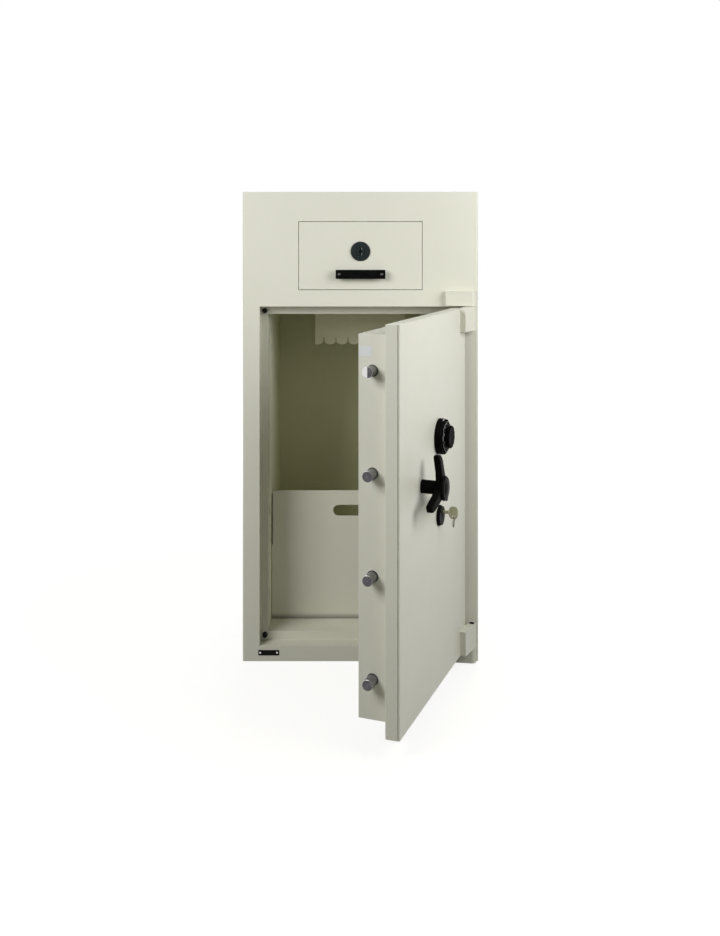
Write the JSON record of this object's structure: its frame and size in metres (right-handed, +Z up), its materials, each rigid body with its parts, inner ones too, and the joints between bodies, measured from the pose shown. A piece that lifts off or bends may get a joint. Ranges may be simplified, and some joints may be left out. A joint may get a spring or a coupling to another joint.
{
  "type": "security safe",
  "caption": "Tall cream steel deposit safe with its boltwork door standing open, a spoked handle, a dial lock, a key lock and a pull-out drawer with its own lock above the door.",
  "frame": {"origin": "middle of the underside of the base, on the floor plane", "axes": "+Z up, -Y out of the front with the door and the drawer, +X towards the hinge side"},
  "size_m": [0.6, 1.0186, 1.195],
  "materials": {
    "outer_paint": "satin cream enamel over filled steel plate",
    "inner_paint": "satin grey cream enamel on sheet",
    "concrete": "rough cast barrier filling",
    "steel": "bright drawn steel, lightly oiled",
    "black_enamel": "satin black enamel on castings",
    "black_plastic": "black moulding with a soft sheen",
    "lock_grey": "dark blue grey lacquer",
    "brass": "pale brass, nickel worn thin",
    "rubber": "moulded black rubber"
  },
  "bodies": {
    "cabinet": {"left_side_plate": "outer_paint", "right_side_plate": "outer_paint", "roof_plate": "outer_paint", "base_plate": "outer_paint", "back_plate": "outer_paint", "front_plate": "outer_paint", "rebate_frame": "outer_paint", "bolt_keeper_post": "inner_paint", "dead_bar_post": "inner_paint", "barrier_fill": "concrete", "side_linings": "inner_paint", "back_lining": "inner_paint", "floor_lining": "inner_paint", "roof_lining": "inner_paint", "head_lining": "inner_paint", "drawer_housing": "inner_paint", "fixed_rails": "steel", "drawer_lock_keeper": "steel", "comb_plate": "inner_paint", "comb_screws": "steel", "upper_hinge_block": "outer_paint", "lower_hinge_block": "outer_paint", "hinge_pins": "steel", "thrust_washers": "brass", "door_bumpers": "rubber", "nameplate": "black_plastic", "nameplate_rivets": "steel", "panel_brackets": "inner_paint"},
    "panel": {"retaining_panel": "inner_paint"},
    "door": {"door_skin": "outer_paint", "door_fill": "concrete", "hard_plate": "steel", "door_inner_plate": "outer_paint", "upper_knuckle": "outer_paint", "lower_knuckle": "outer_paint", "bolt_box": "outer_paint", "bolt_box_cover": "outer_paint", "cover_screws": "steel", "dead_bar": "steel", "bar_guides": "steel", "dial_ring": "black_plastic", "handle_boss": "black_enamel", "key_escutcheon": "black_enamel", "combination_lock_case": "steel", "key_lock_case": "steel"},
    "boltwork": {"locking_bolts": "steel", "bolt_bar": "steel"},
    "handle": {"spoke_handle": "black_enamel", "handle_spindle": "steel"},
    "dial": {"dial": "black_plastic", "wheel_pack": "brass"},
    "key": {"key": "brass"},
    "key_ring": {"key_ring": "steel"},
    "key_bolt": {"key_lock_bolt": "brass"},
    "drawer": {"drawer_front": "outer_paint", "drawer_tray": "steel", "moving_rails": "steel", "drawer_pull": "black_enamel", "drawer_escutcheon": "lock_grey"},
    "drawer_lock": {"drawer_lock_plug": "lock_grey"}
  },
  "joints": [
    {"name": "door_hinge", "type": "hinge", "parent": "cabinet", "child": "door", "pos_m": [0.2817, -0.267, 0.5], "axis": [0, 0, 1], "range_deg": [-69, 101]},
    {"name": "handle_turn", "type": "hinge", "parent": "door", "child": "handle", "pos_m": [0.1336, -0.61933, 0.5335], "axis": [0.9336, -0.3584, 0], "range_deg": [0, 60]},
    {"name": "bolt_slide", "type": "slide", "parent": "door", "child": "boltwork", "axis": [-0.3584, -0.9336, 0], "range_m": [-0.028, 0]},
    {"name": "dial_spin", "type": "hinge", "parent": "door", "child": "dial", "pos_m": [0.18091, -0.4961, 0.62], "axis": [0.9336, -0.3584, 0], "continuous": true},
    {"name": "key_turn", "type": "hinge", "parent": "door", "child": "key", "pos_m": [0.18091, -0.4961, 0.4455], "axis": [0.9336, -0.3584, 0], "range_deg": [0, 90]},
    {"name": "key_bolt_slide", "type": "slide", "parent": "door", "child": "key_bolt", "axis": [-0.3584, -0.9336, 0], "range_m": [-0.01, 0]},
    {"name": "ring_swing", "type": "hinge", "parent": "key", "child": "key_ring", "pos_m": [0.21358, -0.50864, 0.4367], "axis": [0.3584, 0.9336, 0], "range_deg": [-40, 40]},
    {"name": "drawer_slide", "type": "slide", "parent": "cabinet", "child": "drawer", "axis": [0, -1, 0], "range_m": [0, 0.19]},
    {"name": "drawer_lock_turn", "type": "hinge", "parent": "drawer", "child": "drawer_lock", "pos_m": [0, -0.255, 1.04325], "axis": [0, -1, 0], "range_deg": [0, 90]},
    {"name": "panel_lift", "type": "slide", "parent": "cabinet", "child": "panel", "axis": [0, 0, 1], "range_m": [0, 0.3]}
  ],
  "couplings": [
    {"joint": "bolt_slide", "follows": "handle_turn", "m_per_rad": -0.026738},
    {"joint": "key_turn", "follows": "key_bolt_slide", "rad_per_m": -157.08}
  ]
}
